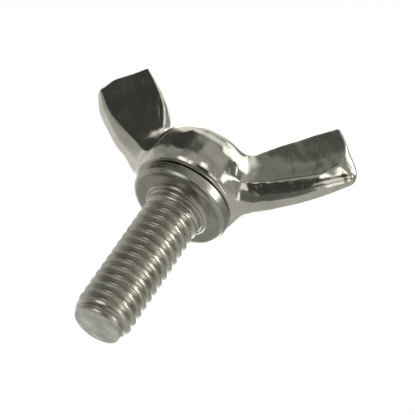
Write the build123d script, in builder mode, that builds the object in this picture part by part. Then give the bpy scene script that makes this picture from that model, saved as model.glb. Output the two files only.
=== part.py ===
"""Wing screw M6 x 16: a forged wing head pressed and riveted on to a collared, threaded stud.

Millimetres. The origin is the centre of the collar's bearing face. +Z runs along the screw's
axis towards the wings, the thread points down -Z, and the two wings stand out along +X and -X.
"""

import os

from build123d import *

# Thread, ISO metric coarse M6 x 1
PITCH = 1.0
MAJOR_RADIUS = 2.95
GROOVE_DEPTH = 0.6
CREST_WIDTH = 0.14
ROOT_WIDTH = 0.2
MOUTH_OVERCUT = 0.12
STUD_LENGTH = 15.7
POINT_TAPER = 0.55
POINT_LENGTH = 1.3
THREAD_TURNS = 15.5
NECK_LENGTH = 1.5
RUNOUT_HEIGHT = 0.5
RUNOUT_CONE_ANGLE = 55.0

# Collar, with a low raised step round the thread
COLLAR_RADIUS = 5.15
COLLAR_HEIGHT = 1.6
COLLAR_FRONT_ROUND = 0.6
COLLAR_BACK_ROUND = 0.25
STEP_RADIUS = 3.45
STEP_HEIGHT = 0.35
STEP_ROUND = 0.2

# Hub of the wing head, which sits on the collar
HUB_FOOT_RADIUS = 5.5
HUB_FOOT_ROUND = 0.35
HUB_RADIUS = 5.7
HUB_WAIST_HEIGHT = 2.2
HUB_SHOULDER_RADIUS = 5.0
HUB_SHOULDER_HEIGHT = 5.2
HUB_TOP_RADIUS = 3.5
HUB_HEIGHT = 6.4
HUB_TOP = COLLAR_HEIGHT + HUB_HEIGHT
HUB_FOOT_DIRECTION = (0.15, 1)
HUB_TOP_DIRECTION = (-1, 0.05)

# Serrated shank that holds the stud in the hub, and its riveted end
SHANK_RADIUS = 2.5
SERRATION_COUNT = 18
SERRATION_WIDTH = 0.5
SERRATION_HEIGHT = 0.25
SERRATED_LENGTH = 3.6
RIVET_RADIUS = 3.1
RIVET_CONE_HEIGHT = 0.8
RIVET_DOME_HEIGHT = 0.25

# Wings: outline in the XZ plane, and half thickness at stations along the swept centre line
SWEEP_ANGLE = 41.0
UPPER_EDGE = ((3.2, 5.7), (4.4, 7.85), (5.75, 10.0), (7.2, 12.0), (8.8, 13.75), (11.2, 15.8))
END_EDGE_FOOT = (13.75, 12.95)
LOWER_CORNER = (15.6, 10.9)
LOWER_EDGE = ((14.4, 9.45), (12.7, 7.5), (10.5, 5.4), (8.0, 3.65), (5.8, 2.5), (3.2, 2.3))
HALF_THICKNESS = ((3.0, 2.75), (6.5, 2.4), (10.0, 1.8), (14.0, 1.5), (22.0, 1.3))
WING_EDGE_ROUND = 1.1
WING_HALF_DEPTH = 3.5
WING_HEIGHT = 12.0
ROOT_BLEND = 0.6

# How closely a radius has to match for an edge to be picked by it
RADIUS_MATCH = 0.01

os.makedirs("parts", exist_ok=True)


def groove_sketch(start):
    """The thread's groove: a flat-rooted V that opens past the major diameter, at a helix's start."""
    mouth_width = PITCH - CREST_WIDTH
    slope = (mouth_width - ROOT_WIDTH) / 2 / GROOVE_DEPTH
    with BuildSketch(start) as section:
        with BuildLine():
            Polyline(
                (-GROOVE_DEPTH, -ROOT_WIDTH / 2),
                (MOUTH_OVERCUT, -mouth_width / 2 - MOUTH_OVERCUT * slope),
                (MOUTH_OVERCUT, mouth_width / 2 + MOUTH_OVERCUT * slope),
                (-GROOVE_DEPTH, ROOT_WIDTH / 2),
                close=True,
            )
        make_face()
    return section.sketch


def rim(part, radius):
    """The circular edges of that radius, lowest first."""
    circles = part.edges().filter_by(GeomType.CIRCLE)
    return circles.filter_by(lambda edge: abs(edge.radius - radius) < RADIUS_MATCH).group_by(Axis.Z)


# Thread groove from the point to the neck
with BuildPart() as groove:
    with BuildLine():
        helix = Helix(
            pitch=PITCH,
            height=PITCH * THREAD_TURNS,
            radius=MAJOR_RADIUS,
            center=(0, 0, -NECK_LENGTH - PITCH * THREAD_TURNS),
        )
    groove_start = Plane(origin=helix @ 0, x_dir=(1, 0, 0), z_dir=helix % 0)
    sweep(groove_sketch(groove_start), path=helix, is_frenet=True)

# Run-out, where the groove climbs out of the neck
with BuildPart() as runout:
    with BuildLine():
        spiral = Helix(
            pitch=PITCH,
            height=RUNOUT_HEIGHT,
            radius=MAJOR_RADIUS,
            center=(0, 0, -NECK_LENGTH),
            cone_angle=RUNOUT_CONE_ANGLE,
        )
    runout_start = Plane(origin=spiral @ 0, x_dir=(1, 0, 0), z_dir=spiral % 0)
    sweep(groove_sketch(runout_start), path=spiral, is_frenet=True)

# Serrated shank and riveted end, which fill the hub's bore
with BuildPart() as shank:
    with BuildSketch(Plane.XY.offset(COLLAR_HEIGHT)):
        Circle(SHANK_RADIUS)
        with PolarLocations(SHANK_RADIUS, SERRATION_COUNT):
            Rectangle(2 * SERRATION_HEIGHT, SERRATION_WIDTH)
    extrude(amount=SERRATED_LENGTH)
    with BuildSketch(Plane.XY.offset(COLLAR_HEIGHT)):
        Circle(SHANK_RADIUS)
    extrude(amount=HUB_HEIGHT)
    with BuildSketch(Plane.XZ):
        with BuildLine():
            Polyline(
                (0, HUB_TOP),
                (0, HUB_TOP - RIVET_CONE_HEIGHT),
                (SHANK_RADIUS, HUB_TOP - RIVET_CONE_HEIGHT),
                (RIVET_RADIUS, HUB_TOP),
                close=True,
            )
        make_face()
    revolve(axis=Axis.Z)

# Threaded stud: point, thread, neck, step, collar, shank and rivet dome in one piece
with BuildPart() as threaded_stud:
    with BuildSketch(Plane.XY.offset(-STUD_LENGTH)):
        Circle(MAJOR_RADIUS)
    extrude(amount=STUD_LENGTH)
    add(groove.part, mode=Mode.SUBTRACT)
    add(runout.part, rotation=(0, 0, 360 * THREAD_TURNS), mode=Mode.SUBTRACT)
    with BuildSketch(Plane.XZ):
        with BuildLine():
            Polyline(
                (MAJOR_RADIUS - POINT_TAPER, -STUD_LENGTH),
                (MAJOR_RADIUS + POINT_TAPER, -STUD_LENGTH),
                (MAJOR_RADIUS + POINT_TAPER, -STUD_LENGTH + 2 * POINT_LENGTH),
                close=True,
            )
        make_face()
    revolve(axis=Axis.Z, mode=Mode.SUBTRACT)
    with BuildSketch(Plane.XY.offset(-STEP_HEIGHT)):
        Circle(STEP_RADIUS)
    extrude(amount=STEP_HEIGHT)
    fillet(rim(threaded_stud, STEP_RADIUS)[0], STEP_ROUND)
    with BuildSketch():
        Circle(COLLAR_RADIUS)
    extrude(amount=COLLAR_HEIGHT)
    fillet(rim(threaded_stud, COLLAR_RADIUS)[0], COLLAR_FRONT_ROUND)
    fillet(rim(threaded_stud, COLLAR_RADIUS)[-1], COLLAR_BACK_ROUND)
    add(shank.part)
    with BuildSketch(Plane.XZ):
        with BuildLine():
            dome = ThreePointArc(
                (-RIVET_RADIUS, HUB_TOP),
                (0, HUB_TOP + RIVET_DOME_HEIGHT),
                (RIVET_RADIUS, HUB_TOP),
            )
            Line((RIVET_RADIUS, HUB_TOP), (-RIVET_RADIUS, HUB_TOP))
        make_face()
        split(bisect_by=Plane.YZ)
    revolve(axis=Axis.Z)
threaded_stud.part.label = "threaded_stud"
export_step(threaded_stud.part, "parts/threaded_stud.step")

# One wing: its outline, cut to its tapering thickness, with rounded edges
with BuildPart() as wing:
    with BuildSketch(Plane.XZ.offset(-WING_HALF_DEPTH)):
        with BuildLine():
            upper = Spline(*UPPER_EDGE)
            Line(upper @ 1, END_EDGE_FOOT)
            corner = Bezier(END_EDGE_FOOT, LOWER_CORNER, LOWER_EDGE[0])
            lower = Spline(*LOWER_EDGE, tangents=(corner % 1, (-1, 0)))
            Line(lower @ 1, upper @ 0)
        make_face()
    extrude(amount=2 * WING_HALF_DEPTH)
    with BuildSketch(Plane.XY.rotated((0, -SWEEP_ANGLE, 0)).offset(-WING_HEIGHT)):
        with BuildLine():
            near = Spline(*HALF_THICKNESS)
            far = Spline(*[(along, -half) for along, half in HALF_THICKNESS])
            Line(near @ 0, far @ 0)
            Line(near @ 1, far @ 1)
        make_face()
    extrude(amount=2 * WING_HEIGHT, mode=Mode.INTERSECT)
    sides = wing.faces().sort_by(Axis.Y)
    fillet(sides[0].edges() + sides[-1].edges(), WING_EDGE_ROUND)

with BuildPart() as wing_head:
    with BuildSketch(Plane.XZ):
        with BuildLine():
            foot = COLLAR_HEIGHT
            foot_edge = RadiusArc(
                (HUB_FOOT_RADIUS - HUB_FOOT_ROUND, foot),
                (HUB_FOOT_RADIUS, foot + HUB_FOOT_ROUND),
                -HUB_FOOT_ROUND,
            )
            side = Spline(
                foot_edge @ 1,
                (HUB_RADIUS, foot + HUB_WAIST_HEIGHT),
                (HUB_SHOULDER_RADIUS, foot + HUB_SHOULDER_HEIGHT),
                (HUB_TOP_RADIUS, HUB_TOP),
                tangents=(HUB_FOOT_DIRECTION, HUB_TOP_DIRECTION),
            )
            Polyline(side @ 1, (0, HUB_TOP), (0, foot), foot_edge @ 0)
        make_face()
    revolve(axis=Axis.Z)
    add((wing.part, mirror(wing.part, about=Plane.YZ, mode=Mode.PRIVATE)))
    fillet(wing_head.edges(Select.NEW), ROOT_BLEND)
    add(shank.part, mode=Mode.SUBTRACT)
wing_head.part.label = "wing_head"
export_step(wing_head.part, "parts/wing_head.step")
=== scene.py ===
"""Wing screw: a polished wing head riveted on to a collared, threaded stud, in a soft studio light."""

import math

import bmesh
import bpy
import numpy as np
from mathutils import Matrix, Vector


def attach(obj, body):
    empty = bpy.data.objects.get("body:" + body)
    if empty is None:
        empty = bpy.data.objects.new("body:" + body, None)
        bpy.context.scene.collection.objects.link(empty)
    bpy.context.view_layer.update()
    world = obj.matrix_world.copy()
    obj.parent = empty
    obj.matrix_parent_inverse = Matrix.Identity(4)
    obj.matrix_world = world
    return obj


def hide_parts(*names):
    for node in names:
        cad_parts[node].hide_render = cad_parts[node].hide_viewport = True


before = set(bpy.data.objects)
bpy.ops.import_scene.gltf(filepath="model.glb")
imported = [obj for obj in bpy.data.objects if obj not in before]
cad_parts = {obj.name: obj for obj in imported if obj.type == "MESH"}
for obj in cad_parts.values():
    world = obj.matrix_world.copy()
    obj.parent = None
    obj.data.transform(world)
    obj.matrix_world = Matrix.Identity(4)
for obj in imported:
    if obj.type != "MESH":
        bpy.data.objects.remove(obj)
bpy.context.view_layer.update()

# One millimetre in Blender's metres
MM = 0.001

# Sizes are in millimetres, in the same frame as the CAD: heights are along Z from the collar's bearing face.

# Thread: the groove's widths are in pitches, and its root level and its rounds are shares of its depth
PITCH = 1.0
MAJOR_RADIUS = 2.95
GROOVE_DEPTH = 0.58
GROOVE_HALF_WIDTH = 0.425
FLANK_WIDTH = 0.33
CREST_ROUND = 0.12
ROOT_LEVEL = 0.985
ROOT_ROUND = 0.16
RUNOUT_HEIGHTS = (-1.75, -0.95)

# Point: how much slimmer it is at its end, how fast it widens with height, and how it is blended and rounded
STUD_LENGTH = 15.7
POINT_TAPER = 0.55
TAPER_RATE = 0.45
TAPER_BLEND = 0.12
POINT_ROUND = 0.12

# Neck, step and collar
NECK_TOP = -0.62
NECK_FILLET = 0.18
STEP_RADIUS = 3.45
STEP_HEIGHT = 0.35
STEP_ROUND = 0.3
STEP_FILLET = 0.05
COLLAR_RADIUS = 5.15
COLLAR_HEIGHT = 1.6
COLLAR_FRONT_ROUND = 0.62
COLLAR_BACK_ROUND = 0.28

# Shank in its bore, and the riveted end in its countersink
SHANK_RADIUS = 2.48
BORE_RADIUS = 2.52
RIVET_RADIUS = 3.1
RIVET_GAP = 0.03
RIVET_CONE_HEIGHT = 0.8
RIVET_DOME_HEIGHT = 0.25

# Hub: a squarish dome above its widest height, and a slight taper below it. The scale turns the field, which
# is 0 on the surface, into about millimetres.
HUB_TOP = 8.0
HUB_RADIUS = 5.7
HUB_WIDEST_Z = 3.8
HUB_DOME_HEIGHT = 4.8
HUB_SQUARENESS = 2.9
HUB_SCALE = 5.0
HUB_TAPER = 0.058
HUB_TOP_ROUND = 0.5
HUB_OFF_CENTRE = 0.2

# Foot of the hub: it lies on the collar near the axis and stands off it by a gap further out
FOOT_GAP = 0.11
FOOT_GAP_RADII = (3.6, 4.2)
FOOT_ROUND = 0.6

# Wings: how they stand on the hub, and their half thickness along the sweep
SWEEP = math.radians(41.0)
LEAN = math.radians(0.7)
LEAN_PIVOT = 4.0
WING_OFF_CENTRE = 0.46
WING_BLEND = 1.6
TIP_HALF = 1.36
ROOT_EXTRA_HALF = 1.75
ROOT_REACH = 9.1
ROOT_FALL = 1.6

# The hollow in the wings' faces: its place across the wing, and where along the wing it deepens
DISH_DEPTH = 0.15
DISH_CENTRE = 1.0
DISH_WIDTH = 2.2
DISH_SPAN = (7.0, 12.0)

# Wing rims: how far the rounding reaches over the face, how much of that is lost towards the tip and where,
# the place across the wing where the lower rim turns into the upper one, and the rim's section
LOWER_RIM = 1.7
LOWER_RIM_LOSS = 1.1
LOWER_LOSS_SPAN = (11.0, 19.0)
UPPER_RIM = 0.6
UPPER_RIM_LOSS = 0.2
UPPER_LOSS_SPAN = (13.0, 18.5)
RIM_CHANGE_SPAN = (-1.6, 1.2)
RIM_FULLNESS = 1.22
RIM_CREASE = 0.1

# Where hand grinding has changed the wings. Each mark is centred on a place in the wings' plane and fades out
# over a reach. The columns are x, z, reach, what is added to the rim's width and what is taken off the
# outline.
GRINDING = (
    # Wing along +X: lower corner, upper edge, end, upper corner
    (14.2, 10.6, 2.0, 1.3, 0.0),
    (7.9, 12.7, 3.0, 0.32, 0.0),
    (12.3, 14.4, 1.8, -0.2, 0.0),
    (10.2, 15.2, 1.6, 0.0, 0.25),
    # Wing along -X: root, lower edge twice, lower corner, nose, end, upper edge
    (-7.8, 3.8, 1.5, 0.0, 0.15),
    (-9.6, 5.0, 4.4, 0.0, 0.36),
    (-10.8, 6.8, 3.2, -0.7, 0.0),
    (-15.3, 10.4, 1.6, -0.3, 0.33),
    (-14.6, 11.4, 1.0, 0.35, 0.0),
    (-13.9, 12.8, 1.3, 0.0, -0.13),
    (-6.2, 11.2, 3.0, 0.0, -0.2),
)

# The box in which the head's surface is looked for, and the spacing of the search
HEAD_LOW = (-16.03, -6.34, 1.22)
HEAD_HIGH = (15.3, 6.3, 16.3)
NET_STEP = 0.13

# Mesh density of the stud, and the radius of the tiny ring that closes a face on the axis
AROUND = 144
ROWS_PER_PITCH = 24
CENTRE_RADIUS = 0.0001

# Points closer together than this are merged
HEAD_WELD = 0.004
STUD_WELD = 0.0006


# ---------------------------------------------------------------------------- curves and fields


def smooth_step(low, high, value):
    """0 below low, 1 above high, and an S curve between."""
    t = np.clip((value - low) / (high - low), 0, 1)
    return t * t * (3 - 2 * t)


def soft_max(a, b, width):
    """The larger of two fields, rounded over where they are within width of each other."""
    gap = np.clip(width - np.abs(a - b), 0, None)
    return np.maximum(a, b) + gap * gap * gap / (6 * width * width)


def soft_min(a, b, width):
    """The smaller of two fields, blended where they are within width of each other."""
    return -soft_max(-a, -b, width)


def hill(x, z, centre_x, centre_z, reach):
    """1 at a centre, fading out over a reach."""
    return np.exp(-((x - centre_x) ** 2 + (z - centre_z) ** 2) / reach**2)


def spline(points, count):
    """Points along a smooth curve through the given points."""
    p = np.array(points, float)
    chord = np.concatenate([[0], np.cumsum(np.sqrt(np.linalg.norm(np.diff(p, axis=0), axis=1)))])
    slope = np.zeros_like(p)
    step = np.diff(chord)[:, None]
    rate = np.diff(p, axis=0) / step
    slope[1:-1] = (rate[:-1] * step[1:] + rate[1:] * step[:-1]) / (step[1:] + step[:-1])
    slope[0] = 1.5 * rate[0] - 0.5 * slope[1]
    slope[-1] = 1.5 * rate[-1] - 0.5 * slope[-2]
    at = np.linspace(0, chord[-1], count)
    k = np.clip(np.searchsorted(chord, at, side="right") - 1, 0, len(p) - 2)
    h = (chord[k + 1] - chord[k])[:, None]
    t = (at - chord[k])[:, None] / h
    return (
        (1 + 2 * t) * (1 - t) ** 2 * p[k]
        + t * (1 - t) ** 2 * h * slope[k]
        + t * t * (3 - 2 * t) * p[k + 1]
        + t * t * (t - 1) * h * slope[k + 1]
    )


def arc(centre, radius, start, end, count):
    """Points of a circular arc, angles in degrees."""
    angles = np.radians(np.linspace(start, end, count))
    return [(centre[0] + radius * math.cos(a), centre[1] + radius * math.sin(a)) for a in angles]


def signed_distance(points, outline):
    """Distance from points in a plane to a closed outline, negative inside."""
    nearest = np.full(len(points), np.inf)
    inside = np.zeros(len(points), bool)
    for start, end in zip(outline, np.roll(outline, -1, axis=0)):
        edge = end - start
        away = points - start
        t = np.clip(away @ edge / (edge @ edge), 0, 1)
        nearest = np.minimum(nearest, np.sum((away - t[:, None] * edge) ** 2, axis=1))
        spans = (start[1] > points[:, 1]) != (end[1] > points[:, 1])
        if edge[1] != 0:
            cross_x = start[0] + (points[:, 1] - start[1]) * edge[0] / edge[1]
            inside ^= spans & (points[:, 0] < cross_x)
    return np.where(inside, -1, 1) * np.sqrt(nearest)


# The wing's outline in the XZ plane, for the wing along +X
upper_edge = spline([(2.0, 4.4), (4.4, 7.9), (5.7, 9.95), (7.15, 12.0), (8.75, 13.75), (10.95, 15.65)], 60)
upper_corner = spline([(10.95, 15.65), (11.3, 15.8), (11.6, 15.52)], 8)
end_edge = np.array([(11.6, 15.52), (12.55, 14.3), (13.6, 13.1)])
lower_corner = spline([(13.6, 13.1), (14.5, 12.05), (15.02, 11.0), (15.0, 10.25), (14.4, 9.45)], 24)
lower_edge = spline([(14.4, 9.45), (12.7, 7.5), (10.5, 5.4), (8.0, 3.55), (5.8, 2.4), (2.0, 1.9)], 70)
WING_OUTLINE = np.concatenate([upper_edge, upper_corner[1:], end_edge[1:], lower_corner[1:], lower_edge[1:]])

# The distance to that outline, worked out on a square grid so that it can be read smoothly anywhere
GRID_STEP = 0.1
GRID_START = -1.5
GRID_COUNTS = (190, 200)
grid_x, grid_z = np.meshgrid(*(GRID_START + GRID_STEP * np.arange(n) for n in GRID_COUNTS), indexing="ij")
grid_points = np.stack([grid_x.ravel(), grid_z.ravel()], axis=1)
OUTLINE_GRID = signed_distance(grid_points, WING_OUTLINE).reshape(GRID_COUNTS)


def spline_weights(t):
    """The four cubic B-spline weights at a place t between two samples."""
    return (
        (1 - t) ** 3 / 6,
        (3 * t**3 - 6 * t**2 + 4) / 6,
        (-3 * t**3 + 3 * t**2 + 3 * t + 1) / 6,
        t**3 / 6,
    )


def outline_distance(x, z):
    """Distance to the wing's outline, negative inside, by cubic B-splines, which round it a little."""
    at_x = np.clip((x - GRID_START) / GRID_STEP, 1, GRID_COUNTS[0] - 3.001)
    at_z = np.clip((z - GRID_START) / GRID_STEP, 1, GRID_COUNTS[1] - 3.001)
    i_x = at_x.astype(int)
    i_z = at_z.astype(int)
    weights_x = spline_weights(at_x - i_x)
    weights_z = spline_weights(at_z - i_z)
    total = np.zeros(np.shape(x))
    for i in range(4):
        for j in range(4):
            total += weights_x[i] * weights_z[j] * OUTLINE_GRID[i_x + i - 1, i_z + j - 1]
    return total


# ---------------------------------------------------------------------------- shape of the wing head


def half_thickness(along, across):
    """The wing's half thickness, thinner towards the tip and slightly dished across the face."""
    half = TIP_HALF + ROOT_EXTRA_HALF * np.exp(-((np.clip(along, 0, None) / ROOT_REACH) ** ROOT_FALL))
    dish = DISH_DEPTH * np.exp(-(((across - DISH_CENTRE) / DISH_WIDTH) ** 2))
    return half - dish * smooth_step(*DISH_SPAN, along)


def wing_field(x, y, z, wider, trim):
    """Below zero inside the wing along +X: a slab whose rim is an ellipse that meets the faces in a crease.

    The rim reaches further over the face on the lower edge than on the upper edge and at the end. wider is
    added to that reach, and trim is taken off the outline.
    """
    side = outline_distance(x, z) + trim
    along = x * math.cos(SWEEP) + z * math.sin(SWEEP)
    across = z * math.cos(SWEEP) - x * math.sin(SWEEP)
    half = half_thickness(along, across)
    lower = LOWER_RIM - LOWER_RIM_LOSS * smooth_step(*LOWER_LOSS_SPAN, along)
    upper = UPPER_RIM - UPPER_RIM_LOSS * smooth_step(*UPPER_LOSS_SPAN, along)
    rim = lower + (upper - lower) * smooth_step(*RIM_CHANGE_SPAN, across) + wider
    tall = rim / (1 - math.sqrt(1 - 1 / RIM_FULLNESS**2))
    deep = half * RIM_FULLNESS
    tiny = 1e-9
    reach = np.clip(side + tall, 0, None)
    level = np.hypot(reach / tall, y / deep) + tiny
    slope = (np.hypot(reach / tall**2, y / deep**2) + tiny / deep) / level
    return soft_max((level - 1) / slope, np.abs(y) - half, RIM_CREASE)


def hub_field(x, y, z):
    """Below zero inside the hub: a low dome over a slightly tapering foot."""
    outwards = np.hypot(x, y) / HUB_RADIUS
    upwards = np.clip(z - HUB_WIDEST_Z, 0, None) / HUB_DOME_HEIGHT
    below = np.clip(HUB_WIDEST_Z - z, 0, None)
    ratio = (outwards**HUB_SQUARENESS + upwards**HUB_SQUARENESS) ** (1 / HUB_SQUARENESS)
    body = (ratio - 1) * HUB_SCALE + HUB_TAPER * below * below
    return soft_max(body, z - HUB_TOP, HUB_TOP_ROUND)


def waviness(x, y, z):
    """The slow unevenness that hand polishing leaves, in millimetres, stronger at the +X wing's root."""
    root = hill(x, z, 6.0, 4.4, 2.0)
    return (
        0.016 * np.sin(1.05 * x + 0.7 * y + 0.4) * np.sin(0.95 * z - 0.5 * y + 1.1)
        + 0.011 * np.sin(1.9 * z - 1.3 * x + 2.2) * np.cos(1.6 * y + 0.9 * x)
        + 0.006 * np.sin(3.1 * x + 2.3 * z) * np.cos(2.7 * y - 1.8 * z + 0.6)
        + 0.024 * root * np.sin(3.4 * x + 1.1 * z) * np.sin(2.9 * z - 1.7 * y + 0.8)
    )


def bore_field(r, z):
    """Below zero inside the hub's bore and the countersink at its top."""
    cone_rate = (RIVET_RADIUS - SHANK_RADIUS) / RIVET_CONE_HEIGHT
    cone = r - RIVET_RADIUS - RIVET_GAP - (z - HUB_TOP) * cone_rate
    countersink = np.maximum(cone, HUB_TOP - RIVET_CONE_HEIGHT - z)
    return np.minimum(r - BORE_RADIUS, countersink)


def head_field(x, y, z):
    """Below zero inside the wing head: hub and both wings, cut off over the collar and bored through."""
    wing_x = x * math.cos(LEAN) + (z - LEAN_PIVOT) * math.sin(LEAN) + WING_OFF_CENTRE
    wing_z = (z - LEAN_PIVOT) * math.cos(LEAN) - x * math.sin(LEAN) + LEAN_PIVOT
    wider = 0.0
    trim = 0.0
    for centre_x, centre_z, reach, rim_gain, outline_loss in GRINDING:
        mark = hill(wing_x, wing_z, centre_x, centre_z, reach)
        wider = wider + rim_gain * mark
        trim = trim + outline_loss * mark
    wings = wing_field(np.abs(wing_x), y, wing_z, wider, trim)
    solid = soft_min(hub_field(x + HUB_OFF_CENTRE, y, z), wings, WING_BLEND) + waviness(x, y, z)
    r = np.hypot(x, y)
    gap = FOOT_GAP * smooth_step(*FOOT_GAP_RADII, r)
    solid = soft_max(solid, COLLAR_HEIGHT + gap - z, FOOT_ROUND)
    return np.maximum(solid, -bore_field(r, z))


# ---------------------------------------------------------------------------- meshes from fields and profiles


def gradient(field, p, reach=0.015):
    """The field's slope at points p."""
    slope = np.zeros_like(p)
    for axis in range(3):
        shift = np.zeros(3)
        shift[axis] = reach
        ahead = p + shift
        behind = p - shift
        slope[:, axis] = (field(*ahead.T) - field(*behind.T)) / (2 * reach)
    return slope


def sample(field, low, high, step):
    """The field's values on a grid of points that fills a box."""
    counts = [int(math.ceil((high[k] - low[k]) / step)) + 1 for k in range(3)]
    xs, ys, zs = (low[k] + step * np.arange(counts[k]) for k in range(3))
    y, z = np.meshgrid(ys, zs, indexing="ij")
    value = np.empty(counts)
    for i, x in enumerate(xs):
        value[i] = field(np.full(y.shape, x), y, z)
    return value


def surface_net(field, low, high, step):
    """Vertices and four-sided faces of the surface where a field is zero.

    Each grid edge that the surface crosses gives one face, with a corner in each of the four cells round
    that edge. Each cell's corner is the mean of the crossings on the cell's edges.
    """
    value = sample(field, low, high, step)
    cells = np.array(value.shape) - 1
    corners, places, quads, outward = [], [], [], []
    for axis in range(3):
        first = [slice(None)] * 3
        second = [slice(None)] * 3
        first[axis] = slice(None, -1)
        second[axis] = slice(1, None)
        here = value[tuple(first)]
        there = value[tuple(second)]
        at = np.stack(np.nonzero((here < 0) != (there < 0)), axis=1)
        value_here = here[tuple(at.T)]
        value_there = there[tuple(at.T)]
        place = at.astype(float)
        place[:, axis] += value_here / (value_here - value_there)
        u, w = [k for k in range(3) if k != axis]
        around = []
        for du, dw in ((-1, -1), (0, -1), (0, 0), (-1, 0)):
            cell = at.copy()
            cell[:, u] += du
            cell[:, w] += dw
            around.append((cell[:, 0] * cells[1] + cell[:, 1]) * cells[2] + cell[:, 2])
            places.append(place)
        corners += around
        quads.append(np.stack(around, axis=1))
        outward.append((value_here < 0) != (axis == 1))
    places = np.concatenate(places)
    quads = np.concatenate(quads)
    inward = ~np.concatenate(outward)
    used, index = np.unique(np.concatenate(corners), return_inverse=True)
    crossings = np.bincount(index, minlength=len(used))
    p = np.stack([np.bincount(index, places[:, k], len(used)) / crossings for k in range(3)], axis=1)
    quads = np.searchsorted(used, quads)
    quads[inward] = quads[inward][:, ::-1]
    return p * step + np.array(low), quads


def settle(field, p, rounds=4):
    """Moves points on to the zero surface, in a few short moves."""
    least_steepness = 0.05
    longest_move = 0.08
    for _ in range(rounds):
        slope = gradient(field, p)
        steepness = np.maximum(np.sum(slope * slope, axis=1), least_steepness)
        move = np.clip(field(*p.T) / steepness, -longest_move, longest_move)
        p = p - slope * move[:, None]
    return p


def lathe(profile, segments):
    """Rings of points turned round the Z axis from (radius, height) pairs, and the faces between them."""
    turn = 2 * math.pi * np.arange(segments) / segments
    rings = [np.stack([r * np.cos(turn), r * np.sin(turn), np.full(segments, z)], axis=1) for r, z in profile]
    faces = []
    for k in range(len(profile) - 1):
        low = k * segments
        high = low + segments
        for i in range(segments):
            j = (i + 1) % segments
            faces.append((low + i, low + j, high + j, high + i))
    return np.concatenate(rings), faces


def new_piece(name, points, faces, material):
    """A mesh object from points in millimetres."""
    mesh = bpy.data.meshes.new(name)
    mesh.from_pydata((points * MM).tolist(), [], [list(f) for f in faces])
    mesh.validate()
    mesh.polygons.foreach_set("use_smooth", [True] * len(mesh.polygons))
    mesh.materials.append(material)
    piece = bpy.data.objects.new(name, mesh)
    bpy.context.scene.collection.objects.link(piece)
    return piece


def weld(piece, distance):
    """Merges points within a distance in millimetres of each other, and turns every face outwards."""
    work = bmesh.new()
    work.from_mesh(piece.data)
    bmesh.ops.remove_doubles(work, verts=work.verts, dist=distance * MM)
    bmesh.ops.dissolve_degenerate(work, edges=work.edges, dist=0.0001 * MM)
    bmesh.ops.recalc_face_normals(work, faces=work.faces)
    work.to_mesh(piece.data)
    work.free()
    piece.data.update()


# ---------------------------------------------------------------------------- materials


class Graph:
    """Short calls for building a node tree."""

    def __init__(self, tree):
        self.tree = tree

    def put(self, socket, value):
        """Links another node's output to an input, or sets the input to a plain value."""
        if isinstance(value, bpy.types.NodeSocket):
            self.tree.links.new(value, socket)
        else:
            socket.default_value = value

    def add(self, kind, **inputs):
        """A new node, with some of its inputs given by name."""
        node = self.tree.nodes.new(kind)
        for name, value in inputs.items():
            self.put(node.inputs[name], value)
        return node

    def math(self, operation, a, b=0.0):
        node = self.add("ShaderNodeMath")
        node.operation = operation
        self.put(node.inputs[0], a)
        self.put(node.inputs[1], b)
        return node.outputs[0]

    def vector_math(self, operation, vector):
        node = self.add("ShaderNodeVectorMath")
        node.operation = operation
        self.put(node.inputs[0], vector)
        return node

    def scaled(self, vector, factors):
        node = self.vector_math("MULTIPLY", vector)
        node.inputs[1].default_value = factors
        return node.outputs[0]

    def split(self, vector):
        """A vector's X, Y and Z outputs."""
        return self.add("ShaderNodeSeparateXYZ", Vector=vector).outputs

    def noise(self, vector, scale, detail=4.0, roughness=0.55):
        node = self.add("ShaderNodeTexNoise", Vector=vector, Scale=scale, Detail=detail, Roughness=roughness)
        return node.outputs[0]

    def span(self, value, low, high, new_low, new_high):
        """Maps low to high on to new_low to new_high, held at the ends."""
        node = self.add("ShaderNodeMapRange")
        for socket, number in zip(node.inputs, (value, low, high, new_low, new_high)):
            self.put(socket, number)
        return node.outputs[0]

    def ramp(self, value, stops):
        """Colours at positions along a value."""
        node = self.add("ShaderNodeValToRGB")
        self.put(node.inputs[0], value)
        while len(node.color_ramp.elements) < len(stops):
            node.color_ramp.elements.new(0.5)
        for element, (position, colour) in zip(node.color_ramp.elements, stops):
            element.position = position
            element.color = (*colour, 1)
        return node.outputs[0]

    def mix(self, share, start, end):
        """A colour that goes from start to end as share goes from 0 to 1."""
        node = self.add("ShaderNodeMix", Factor=share)
        node.data_type = "RGBA"
        self.put(node.inputs[6], start)
        self.put(node.inputs[7], end)
        return node.outputs[2]

    def blend(self, start, end, share):
        """A number that goes from start to end as share goes from 0 to 1."""
        return self.math("ADD", start, self.math("MULTIPLY", share, self.math("SUBTRACT", end, start)))

    def bump(self, height, distance, strength, normal=None):
        """A relief, with its depth in millimetres, on top of another relief."""
        node = self.add("ShaderNodeBump", Strength=strength, Distance=distance * MM, Height=height)
        if normal is not None:
            self.put(node.inputs["Normal"], normal)
        return node.outputs[0]


def new_material(name):
    """A new material, the node graph it has, and its shader."""
    material = bpy.data.materials.new(name)
    material.use_nodes = True
    tree = material.node_tree
    return material, Graph(tree), tree.nodes["Principled BSDF"]


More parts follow.
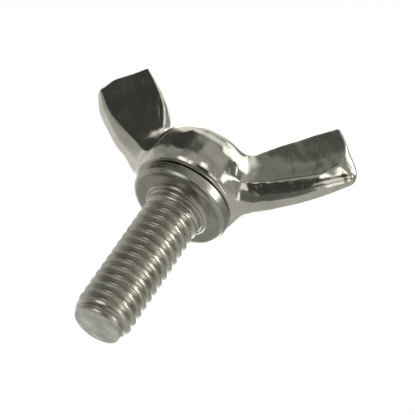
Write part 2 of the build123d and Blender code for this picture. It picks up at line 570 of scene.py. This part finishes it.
def polished_steel():
    """Mirror-polished stainless steel with slow waves, fine wipe marks and a few deeper scratches."""
    material, g, shader = new_material("polished_steel")
    place = g.add("ShaderNodeTexCoord").outputs["Object"]
    turned = g.add("ShaderNodeMapping", Vector=place, Rotation=(0, math.radians(28), 0)).outputs[0]
    cloud = g.noise(place, 320, 6, 0.62)
    fine = g.noise(place, 5200, 4, 0.6)
    wipes = g.noise(g.scaled(turned, (1.0, 0.3, 0.05)), 5600, 3)
    cuts = g.noise(g.scaled(turned, (1.0, 0.5, 0.09)), 2300, 2)
    steel = [(0.32, (0.58, 0.57, 0.495)), (0.50, (0.66, 0.65, 0.575)), (0.72, (0.73, 0.715, 0.64))]
    g.put(shader.inputs["Base Color"], g.ramp(cloud, steel))
    g.put(shader.inputs["Metallic"], 1.0)
    smear = g.span(cloud, 0.35, 0.75, 0.06, 0.17)
    streak = g.span(wipes, 0.55, 0.8, 0.0, 0.16)
    scratch = g.span(cuts, 0.66, 0.74, 0.0, 0.30)
    g.put(shader.inputs["Roughness"], g.math("ADD", smear, g.math("ADD", streak, scratch)))
    relief = g.bump(fine, 0.010, 0.35)
    relief = g.bump(wipes, 0.008, 0.4, relief)
    relief = g.bump(cuts, 0.009, 0.4, relief)
    relief = g.bump(g.noise(place, 480, 2), 0.06, 0.55, relief)
    g.put(shader.inputs["Normal"], relief)
    return material


def satin_steel():
    """Stainless steel as it leaves the header and the thread rolls: satin, and marked round and round.

    The point's end face is paler and rougher. The thread's roots carry painted shade, darker where the
    grooves lie deep, and the collar is a little darker.
    """
    material, g, shader = new_material("satin_steel")
    place = g.add("ShaderNodeTexCoord").outputs["Object"]
    height = g.split(place)["Z"]
    radius = g.vector_math("LENGTH", g.scaled(place, (1.0, 1.0, 0.0))).outputs["Value"]
    cloud = g.noise(place, 420, 6, 0.6)
    rings = g.noise(g.scaled(place, (0.06, 0.06, 1.0)), 6500, 3)
    grain = g.noise(place, 9000, 4, 0.7)
    end = g.span(height, (0.08 - STUD_LENGTH) * MM, (0.02 - STUD_LENGTH) * MM, 0.0, 1.0)

    steel = [(0.30, (0.43, 0.42, 0.365)), (0.50, (0.58, 0.57, 0.50)), (0.72, (0.70, 0.69, 0.62))]
    pale = [(0.36, (0.66, 0.65, 0.59)), (0.62, (0.99, 0.98, 0.92))]
    colour = g.mix(end, g.ramp(cloud, steel), g.ramp(g.noise(place, 620, 6, 0.7), pale))
    # Painted shade: the colour is darker towards the thread's roots and the shank, where the grooves lie
    # deep, and the end face is left out
    root_painted_shade = g.math("MAXIMUM", g.span(radius, 2.42 * MM, 2.72 * MM, 0.84, 1.0), end)
    collar_tone = g.span(height, -0.6 * MM, 0.0, 1.0, 0.80)
    toned = g.vector_math("SCALE", colour)
    g.put(toned.inputs["Scale"], g.math("MULTIPLY", root_painted_shade, collar_tone))
    g.put(shader.inputs["Base Color"], toned.outputs[0])
    g.put(shader.inputs["Metallic"], 1.0)

    rough = g.math("ADD", g.span(cloud, 0.3, 0.75, 0.19, 0.33), g.span(rings, 0.4, 0.8, 0.0, 0.12))
    g.put(shader.inputs["Roughness"], g.math("ADD", rough, g.math("MULTIPLY", end, 0.2)))
    relief = g.bump(grain, 0.010, 0.45)
    relief = g.bump(rings, 0.014, 0.4, relief)
    relief = g.bump(cloud, 0.04, 0.3, relief)
    g.put(shader.inputs["Normal"], relief)
    return material


def pale_board():
    """Pale matt board, seen only from above, so that a camera below it looks straight through."""
    material, g, shader = new_material("pale_board")
    place = g.add("ShaderNodeTexCoord").outputs["Object"]
    tones = [(0.3, (0.88, 0.88, 0.87)), (0.7, (0.92, 0.92, 0.91))]
    g.put(shader.inputs["Base Color"], g.ramp(g.noise(place, 40, 5), tones))
    g.put(shader.inputs["Roughness"], 0.9)
    underside = g.add("ShaderNodeNewGeometry").outputs["Backfacing"]
    to_camera = g.add("ShaderNodeLightPath").outputs["Is Camera Ray"]
    mix = g.add("ShaderNodeMixShader")
    g.put(mix.inputs[0], g.math("MULTIPLY", underside, to_camera))
    g.put(mix.inputs[1], shader.outputs[0])
    g.put(mix.inputs[2], g.add("ShaderNodeBsdfTransparent").outputs[0])
    g.put(g.tree.nodes["Material Output"].inputs["Surface"], mix.outputs[0])
    return material


# ---------------------------------------------------------------------------- wing head

head_points, head_faces = surface_net(head_field, HEAD_LOW, HEAD_HIGH, NET_STEP)
head_points = settle(head_field, head_points)
wing_head = new_piece("wing_head_polished", head_points, head_faces, polished_steel())
weld(wing_head, HEAD_WELD)
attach(wing_head, "root")
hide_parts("wing_head")


# ---------------------------------------------------------------------------- threaded stud

LOW_Z = -STUD_LENGTH + POINT_ROUND

# A thread face that is lower than this has been flattened at one of the thread's ends, and is left out
LEAST_HEIGHT = 1e-7


def groove(phase):
    """The thread groove's depth, 0 at the crest and 1 at the root. The groove's centre is at phase 0."""
    off_centre = np.abs((phase + 0.5) % 1.0 - 0.5)
    flank = np.clip((GROOVE_HALF_WIDTH - off_centre) / FLANK_WIDTH, 0, 1)
    return soft_min(soft_max(flank, 0.0, CREST_ROUND), ROOT_LEVEL, ROOT_ROUND)


def thread_radius(angle, z):
    """The stud's radius, with the thread fading out towards the neck and tapering to the point."""
    phase = z / PITCH - angle / (2 * math.pi)
    fade = 1 - smooth_step(*RUNOUT_HEIGHTS, z)
    depth = GROOVE_DEPTH * fade * smooth_step(LOW_Z, LOW_Z + POINT_ROUND, z)
    taper = MAJOR_RADIUS - POINT_TAPER + (z + STUD_LENGTH) * TAPER_RATE
    return soft_min(MAJOR_RADIUS - depth * groove(phase), taper, TAPER_BLEND)


def thread_surface():
    """Points and faces of the thread, in rows that climb with the helix and stop flat at both ends."""
    turn = 2 * math.pi * np.arange(AROUND) / AROUND
    rows = int(math.ceil((NECK_TOP - LOW_Z) / PITCH + 1)) * ROWS_PER_PITCH + 1
    start_z = LOW_Z - PITCH + np.arange(rows) * PITCH / ROWS_PER_PITCH
    z = np.clip(start_z[:, None] + PITCH * turn / (2 * math.pi), LOW_Z, NECK_TOP)
    r = thread_radius(turn, z)
    points = np.stack([r * np.cos(turn), r * np.sin(turn), z], axis=2).reshape(-1, 3)
    faces = []
    for row in range(rows - 1):
        for i in range(AROUND):
            last = i == AROUND - 1
            climb = ROWS_PER_PITCH if last else 0
            if row + 1 + climb >= rows:
                continue
            low = row * AROUND
            next_low = (row + climb) * AROUND + (0 if last else i + 1)
            corners = (low + i, next_low, next_low + AROUND, low + AROUND + i)
            heights = points[list(corners), 2]
            if heights.max() - heights.min() > LEAST_HEIGHT:
                faces.append(corners)
    return points, faces


def point_profile():
    """Radius and height along the point's slightly hollow end face and its rounded edge."""
    tip_radius = thread_radius(0.0, LOW_Z)
    hollow = ((CENTRE_RADIUS, 0.03), (0.9, 0.02), (1.7, 0.004))
    profile = [(radius, depth - STUD_LENGTH) for radius, depth in hollow]
    return profile + arc((tip_radius - POINT_ROUND, LOW_Z), POINT_ROUND, -90, 0, 8)


def upper_profile():
    """Radius and height from the neck over the step, the collar, the shank and the riveted dome.

    The points within the flats only add rows of faces, which keep the shading even. The dome's last ring is
    so small that welding closes it.
    """
    profile = [(MAJOR_RADIUS, NECK_TOP)]
    profile += arc((MAJOR_RADIUS + NECK_FILLET, -STEP_HEIGHT - NECK_FILLET), NECK_FILLET, 180, 90, 7)
    profile += arc((STEP_RADIUS - STEP_ROUND, -STEP_HEIGHT + STEP_ROUND), STEP_ROUND, -90, 0, 12)
    profile += arc((STEP_RADIUS + STEP_FILLET, -STEP_FILLET), STEP_FILLET, 180, 90, 5)
    profile += [(3.9, 0.0), (4.2, 0.0)]
    front = COLLAR_FRONT_ROUND
    profile += arc((COLLAR_RADIUS - front, front), front, -90, 0, 14)
    profile += [(COLLAR_RADIUS, 0.8), (COLLAR_RADIUS, 1.1)]
    back = COLLAR_BACK_ROUND
    profile += arc((COLLAR_RADIUS - back, COLLAR_HEIGHT - back), back, 0, 90, 8)
    profile += [(4.4, COLLAR_HEIGHT), (SHANK_RADIUS, COLLAR_HEIGHT), (SHANK_RADIUS, 4.0)]
    profile += [(SHANK_RADIUS, HUB_TOP - RIVET_CONE_HEIGHT), (RIVET_RADIUS, HUB_TOP)]
    for share in (0.97, 0.9, 0.75, 0.55, 0.3, 0.0001):
        profile.append((RIVET_RADIUS * share, HUB_TOP + RIVET_DOME_HEIGHT * (1 - share**2)))
    return profile


def join(surfaces):
    """One list of points and one of faces from several surfaces."""
    points = []
    faces = []
    for more_points, more_faces in surfaces:
        start = sum(len(p) for p in points)
        points.append(more_points)
        faces += [tuple(corner + start for corner in face) for face in more_faces]
    return np.concatenate(points), faces


stud_points, stud_faces = join([
    thread_surface(),
    lathe(point_profile(), AROUND),
    lathe(upper_profile(), AROUND),
])
stud = new_piece("threaded_stud_satin", stud_points, stud_faces, satin_steel())
weld(stud, STUD_WELD)
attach(stud, "root")
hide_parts("threaded_stud")


# ---------------------------------------------------------------------------- floor

FLOOR_HALF_SIDE = 1500.0
FLOOR_GAP = 0.01

floor_points = np.array([(-1, -1, 0), (1, -1, 0), (1, 1, 0), (-1, 1, 0)]) * FLOOR_HALF_SIDE
floor_points[:, 2] = -STUD_LENGTH - FLOOR_GAP
floor = new_piece("floor", floor_points, [(0, 1, 2, 3)], pale_board())
floor.visible_diffuse = False
floor.visible_glossy = False
floor.visible_transmission = False
floor.visible_shadow = False


# ---------------------------------------------------------------------------- light

# A grey room with dark and pale walls and a few windows. Each card is a span of directions as seen from the
# screw: low and high azimuth, low and high elevation and the softness of its edges, all in degrees, and then
# its brightness. Azimuth 0 is -Y and 90 is +X. A later card lies over an earlier one.
CARDS = (
    (-200, -60, -50, 18, 10, 0.42),
    (-200, -92, -32, 28, 16, 0.72),
    (-200, -134, -20, 28, 8, 1.3),
    (-185, -120, -52, -16, 8, 0.42),
    (84, 200, -60, 12, 16, 0.50),
    (52, 84, -26, 4, 8, 0.28),
    (-200, -130, -95, -45, 14, 0.07),
    (-130, 84, -90, -44, 10, 0.14),
    (-104, -62, 28, 43, 3, 0.055),
    (-66, -26, 28, 52, 3, 0.055),
    (-120, -60, 46, 66, 4, 1.0),
    (-64, -31, 55, 66, 4, 1.0),
    (-28, 0, 24, 41, 6, 0.105),
    (-28, 0, 44, 58, 5, 0.22),
    (4, 62, 30, 44, 8, 0.42),
    (60, 92, 33, 46, 5, 0.13),
    (12, 52, -34, 8, 8, 0.055),
    (40, 84, -52, -24, 8, 0.14),
    (-8, 16, 6, 24, 5, 0.42),
    (-200, -60, 62, 95, 10, 0.80),
    (-200, -124, 38, 66, 8, 1.3),
    (-36, 70, 56, 78, 8, 0.9),
    (42, 112, 46, 62, 6, 1.6),
    (72, 130, 56, 86, 8, 1.5),
    (64, 80, 16, 31, 3, 2.2),
    (38, 60, -14, 9, 4, 0.95),
    (19, 30, 8, 16, 3, 1.9),
    (66, 94, -25, -12, 4, 1.3),
    (60, 100, -90, -62, 8, 1.2),
    (-26, 1, -34, 8, 5, 1.5),
)


def within(g, angle, low, high, soft):
    """1 where an angle is between two limits and 0 outside them, with edges soft degrees wide."""
    above = g.span(angle, low - soft / 2, low + soft / 2, 0, 1)
    below = g.span(angle, high - soft / 2, high + soft / 2, 1, 0)
    return g.math("MULTIPLY", above, below)


def studio_world():
    """The room that the steel reflects. The camera itself sees plain white."""
    world = bpy.data.worlds.new("studio")
    world.use_nodes = True
    g = Graph(world.node_tree)
    direction = g.add("ShaderNodeTexCoord").outputs["Generated"]
    seen = g.add("ShaderNodeLightPath").outputs["Is Camera Ray"]
    parts = g.split(direction)
    degrees = 180 / math.pi
    azimuth = g.math("MULTIPLY", g.math("ARCTAN2", parts["X"], g.math("MULTIPLY", parts["Y"], -1.0)), degrees)
    elevation = g.math("MULTIPLY", g.math("ARCSINE", parts["Z"]), degrees)

    level = g.span(g.noise(direction, 2.2, 3), 0.3, 0.7, 0.24, 0.36)
    for low_azimuth, high_azimuth, low_elevation, high_elevation, soft, brightness in CARDS:
        across = within(g, azimuth, low_azimuth, high_azimuth, soft)
        upwards = within(g, elevation, low_elevation, high_elevation, soft)
        level = g.blend(level, brightness, g.math("MULTIPLY", across, upwards))

    tints = [(0.30, (0.92, 1.0, 0.88)), (0.48, (1.0, 0.99, 0.96)), (0.70, (1.0, 0.93, 0.90))]
    tint = g.ramp(g.noise(direction, 3.1, 2), tints)
    background = g.tree.nodes["Background"]
    g.put(background.inputs["Strength"], g.blend(level, 1.0, seen))
    g.put(background.inputs["Color"], g.mix(seen, tint, (1, 1, 1, 1)))
    return world


def toward(azimuth, elevation):
    """The unit vector to a direction in degrees, with azimuth 0 at -Y and 90 at +X."""
    az = math.radians(azimuth)
    el = math.radians(elevation)
    return Vector((math.sin(az) * math.cos(el), -math.cos(az) * math.cos(el), math.sin(el)))


def softbox(name, azimuth, elevation, distance, size, power, only=None):
    """A square area light aimed at the frame's origin, for everything or only one piece. Metres and watts."""
    data = bpy.data.lights.new(name, "AREA")
    data.size = size
    data.energy = power
    light = bpy.data.objects.new(name, data)
    bpy.context.scene.collection.objects.link(light)
    light.location = toward(azimuth, elevation) * distance
    light.rotation_euler = toward(azimuth, elevation).to_track_quat("Z", "Y").to_euler()
    if only is not None:
        lit = bpy.data.collections.new(name + "_lit")
        lit.objects.link(only)
        light.light_linking.receiver_collection = lit


bpy.context.scene.world = studio_world()
softbox("key", 84, 57, 0.30, 0.10, 0.14)
softbox("fill", -130, 55, 0.35, 0.16, 0.12)
softbox("streak", 76, 33, 0.25, 0.05, 0.085, stud)
softbox("rim", 178, 4, 0.25, 0.10, 0.075, stud)


# ---------------------------------------------------------------------------- camera

# Angles in degrees, lengths in millimetres. The frame's origin lies at the distance in front of the camera,
# and off the middle of the view by the shift.
VIEW_AZIMUTH = 25.0
VIEW_ELEVATION = -33.0
VIEW_ROLL = -33.9
VIEW_DISTANCE = 142.1
VIEW_SHIFT = (-3.03, -0.19)

# The focal length, in widths of the picture
FOCAL_WIDTHS = 3.4385542
SENSOR_WIDTH = 36.0
CLIP_START = 5.0


def view_camera():
    """A camera below the collar, looking up at it, rolled so that the thread points to the lower left."""
    elevation = math.radians(VIEW_ELEVATION)
    back = Vector((0, -math.cos(elevation), math.sin(elevation)))
    right = Vector((1, 0, 0))
    level_view = Matrix((right, back.cross(right), back))
    roll = Matrix.Rotation(math.radians(VIEW_ROLL), 3, "Z")
    swing = Matrix.Rotation(math.radians(-VIEW_AZIMUTH), 3, "Z")
    to_world = (roll @ level_view @ swing).transposed()
    data = bpy.data.cameras.new("camera")
    data.sensor_width = SENSOR_WIDTH
    data.lens = SENSOR_WIDTH * FOCAL_WIDTHS
    data.clip_start = CLIP_START * MM
    camera = bpy.data.objects.new("camera", data)
    bpy.context.scene.collection.objects.link(camera)
    origin_in_view = Vector((*VIEW_SHIFT, -VIEW_DISTANCE)) * MM
    camera.matrix_world = Matrix.Translation(-(to_world @ origin_in_view)) @ to_world.to_4x4()
    return camera


bpy.context.scene.camera = view_camera()
bpy.context.scene.view_settings.view_transform = "Standard"
